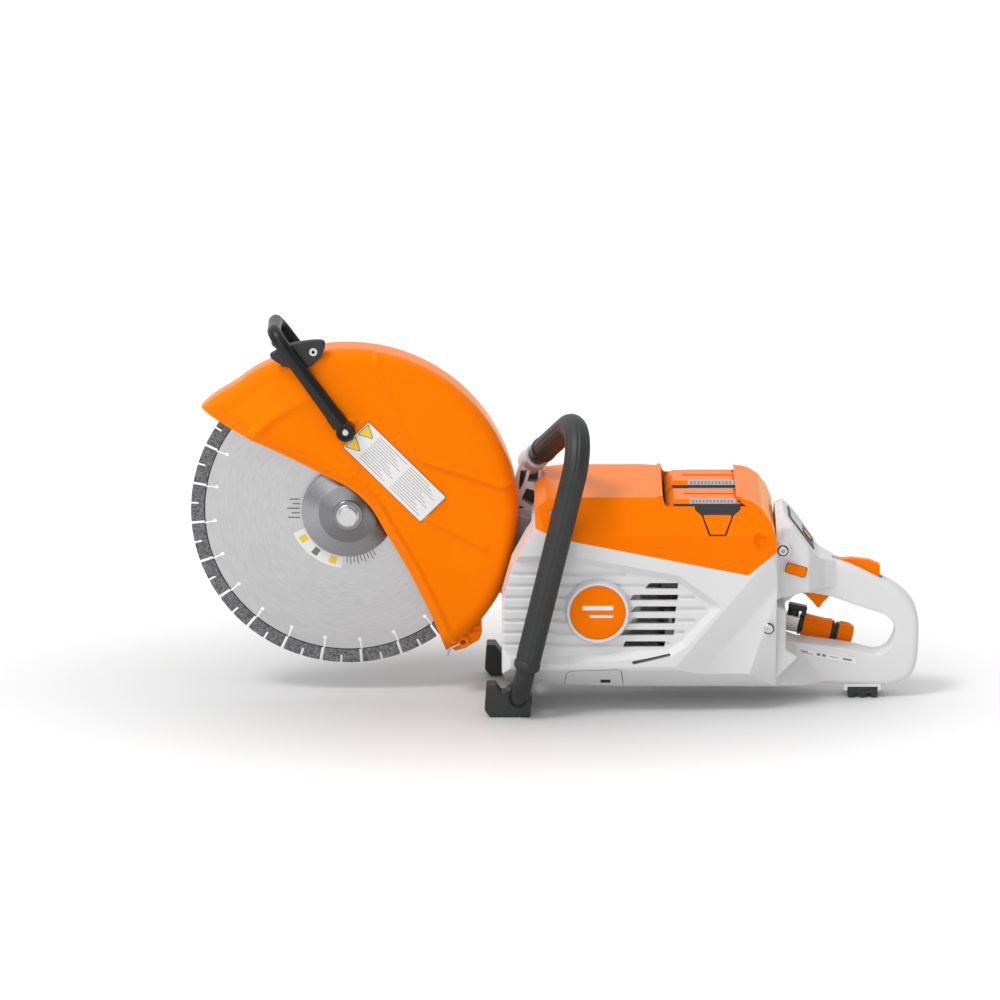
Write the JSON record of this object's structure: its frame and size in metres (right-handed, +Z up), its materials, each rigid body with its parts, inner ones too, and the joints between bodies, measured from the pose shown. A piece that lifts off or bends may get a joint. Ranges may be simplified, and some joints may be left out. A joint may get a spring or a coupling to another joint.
{
  "type": "rescue saw",
  "caption": "Battery-powered cut-off saw with a segmented abrasive wheel, tilting guard, belt drive, wrap-around front handle and D-shaped rear handle with trigger.",
  "frame": {"origin": "middle of the saw's footprint box, on the floor it stands on", "axes": "+X from the wheel to the rear handle, +Y to the belt side, +Z up"},
  "size_m": [0.8105, 0.228, 0.4265],
  "materials": {
    "orange": "moulded, satin gloss",
    "guard_orange": "painted cast light alloy",
    "light_grey": "moulded, fine satin grain",
    "black_plastic": "moulded, fine grain",
    "black_metal": "black powder coat",
    "rubber": "soft black rubber",
    "cast": "bead-blasted casting",
    "belt_cover_grey": "dark powder coat",
    "steel": "turned steel",
    "iron": "laminated core",
    "segment": "sintered metal with diamond grit",
    "nickel": "nickel-plated brass",
    "label": "blank printed plate"
  },
  "bodies": {
    "machine": {"cutting_arm": "cast", "spindle_bearings": "steel", "drive_belt": "rubber", "belt_cover": "belt_cover_grey", "belt_cover_screws": "steel", "motor_can": "cast", "motor_flange": "cast", "motor_stator": "iron", "motor_bearings": "steel", "housing_left": "light_grey", "housing_right": "light_grey", "service_cover": "light_grey", "badge_disc": "orange", "top_cover": "orange", "cover_screws": "steel", "battery_bay": "black_plastic", "battery_terminals": "black_plastic", "controller": "cast", "rear_handle_left": "light_grey", "rear_handle_right": "light_grey", "handle_screws": "steel", "control_panel": "black_plastic", "control_pins": "steel", "type_plate": "label", "front_handle_tube": "black_metal", "front_handle_grip": "rubber", "handle_bracket": "cast", "front_feet": "rubber", "rear_foot": "rubber", "valve_body": "nickel", "coupling_body": "black_plastic", "coupling_nut": "orange"},
    "spindle": {"spindle_shaft": "steel", "spindle_pulley": "steel", "inner_flange": "steel", "wheel_core": "steel", "wheel_segments": "segment", "outer_flange": "steel", "clamp_washer": "steel", "clamp_bolt": "steel"},
    "motor_rotor": {"motor_shaft": "steel", "rotor_core": "iron", "cooling_fan": "black_plastic", "motor_pulley": "steel"},
    "guard": {"guard_shell": "guard_orange", "guard_lever": "black_metal", "lever_bracket": "black_plastic", "guard_screws": "steel", "water_nozzles": "nickel"},
    "trigger": {"trigger": "orange"},
    "lockout_lever": {"lockout_lever": "orange"},
    "unlock_button": {"unlock_button": "orange"},
    "power_button": {"power_button": "orange"},
    "battery_left": {"battery_left": "black_plastic"},
    "battery_right": {"battery_right": "black_plastic"},
    "battery_latch_left": {"battery_latch_left": "orange"},
    "battery_latch_right": {"battery_latch_right": "orange"},
    "coupling_sleeve": {"coupling_sleeve": "orange"},
    "valve_lever": {"valve_lever": "black_plastic"}
  },
  "joints": [
    {"name": "spindle_spin", "type": "hinge", "parent": "machine", "child": "spindle", "pos_m": [-0.23025, 0.013, 0.208], "axis": [0, 1, 0], "continuous": true},
    {"name": "motor_spin", "type": "hinge", "parent": "machine", "child": "motor_rotor", "pos_m": [0.04675, 0.013, 0.118], "axis": [0, 1, 0], "continuous": true},
    {"name": "guard_tilt", "type": "hinge", "parent": "machine", "child": "guard", "pos_m": [-0.23025, 0.013, 0.208], "axis": [0, 1, 0], "range_deg": [-35, 25]},
    {"name": "trigger_pull", "type": "hinge", "parent": "machine", "child": "trigger", "pos_m": [0.27675, 0.013, 0.132], "axis": [0, -1, 0], "range_deg": [0, 12], "stiffness_Nm_per_rad": 0.5, "springref_deg": -11.46},
    {"name": "lockout_press", "type": "hinge", "parent": "machine", "child": "lockout_lever", "pos_m": [0.31575, 0.013, 0.147], "axis": [0, 1, 0], "range_deg": [0, 11], "stiffness_Nm_per_rad": 0.5, "springref_deg": -11.46},
    {"name": "unlock_press", "type": "slide", "parent": "machine", "child": "unlock_button", "axis": [0, 1, 0], "range_m": [0, 0.0025], "stiffness_N_per_m": 500, "springref_m": -0.002},
    {"name": "power_press", "type": "slide", "parent": "machine", "child": "power_button", "axis": [-0.7965, 0, -0.6046], "range_m": [0, 0.001], "stiffness_N_per_m": 800, "springref_m": -0.001},
    {"name": "battery_left_lift", "type": "slide", "parent": "machine", "child": "battery_left", "axis": [0, 0, 1], "range_m": [0, 0.12]},
    {"name": "battery_right_lift", "type": "slide", "parent": "machine", "child": "battery_right", "axis": [0, 0, 1], "range_m": [0, 0.12]},
    {"name": "latch_left_press", "type": "slide", "parent": "machine", "child": "battery_latch_left", "axis": [0, 1, 0], "range_m": [0, 0.0015], "stiffness_N_per_m": 1000, "springref_m": -0.001},
    {"name": "latch_right_press", "type": "slide", "parent": "machine", "child": "battery_latch_right", "axis": [0, -1, 0], "range_m": [0, 0.0015], "stiffness_N_per_m": 1000, "springref_m": -0.001},
    {"name": "sleeve_pull", "type": "slide", "parent": "machine", "child": "coupling_sleeve", "axis": [0.9744, 0, -0.225], "range_m": [0, 0.005], "stiffness_N_per_m": 400, "springref_m": -0.003},
    {"name": "valve_turn", "type": "hinge", "parent": "machine", "child": "valve_lever", "pos_m": [0.26656, 0.048, 0.08339], "axis": [0.225, 0, 0.9744], "range_deg": [0, 90]}
  ],
  "couplings": [
    {"joint": "motor_spin", "follows": "spindle_spin", "ratio": 2}
  ]
}
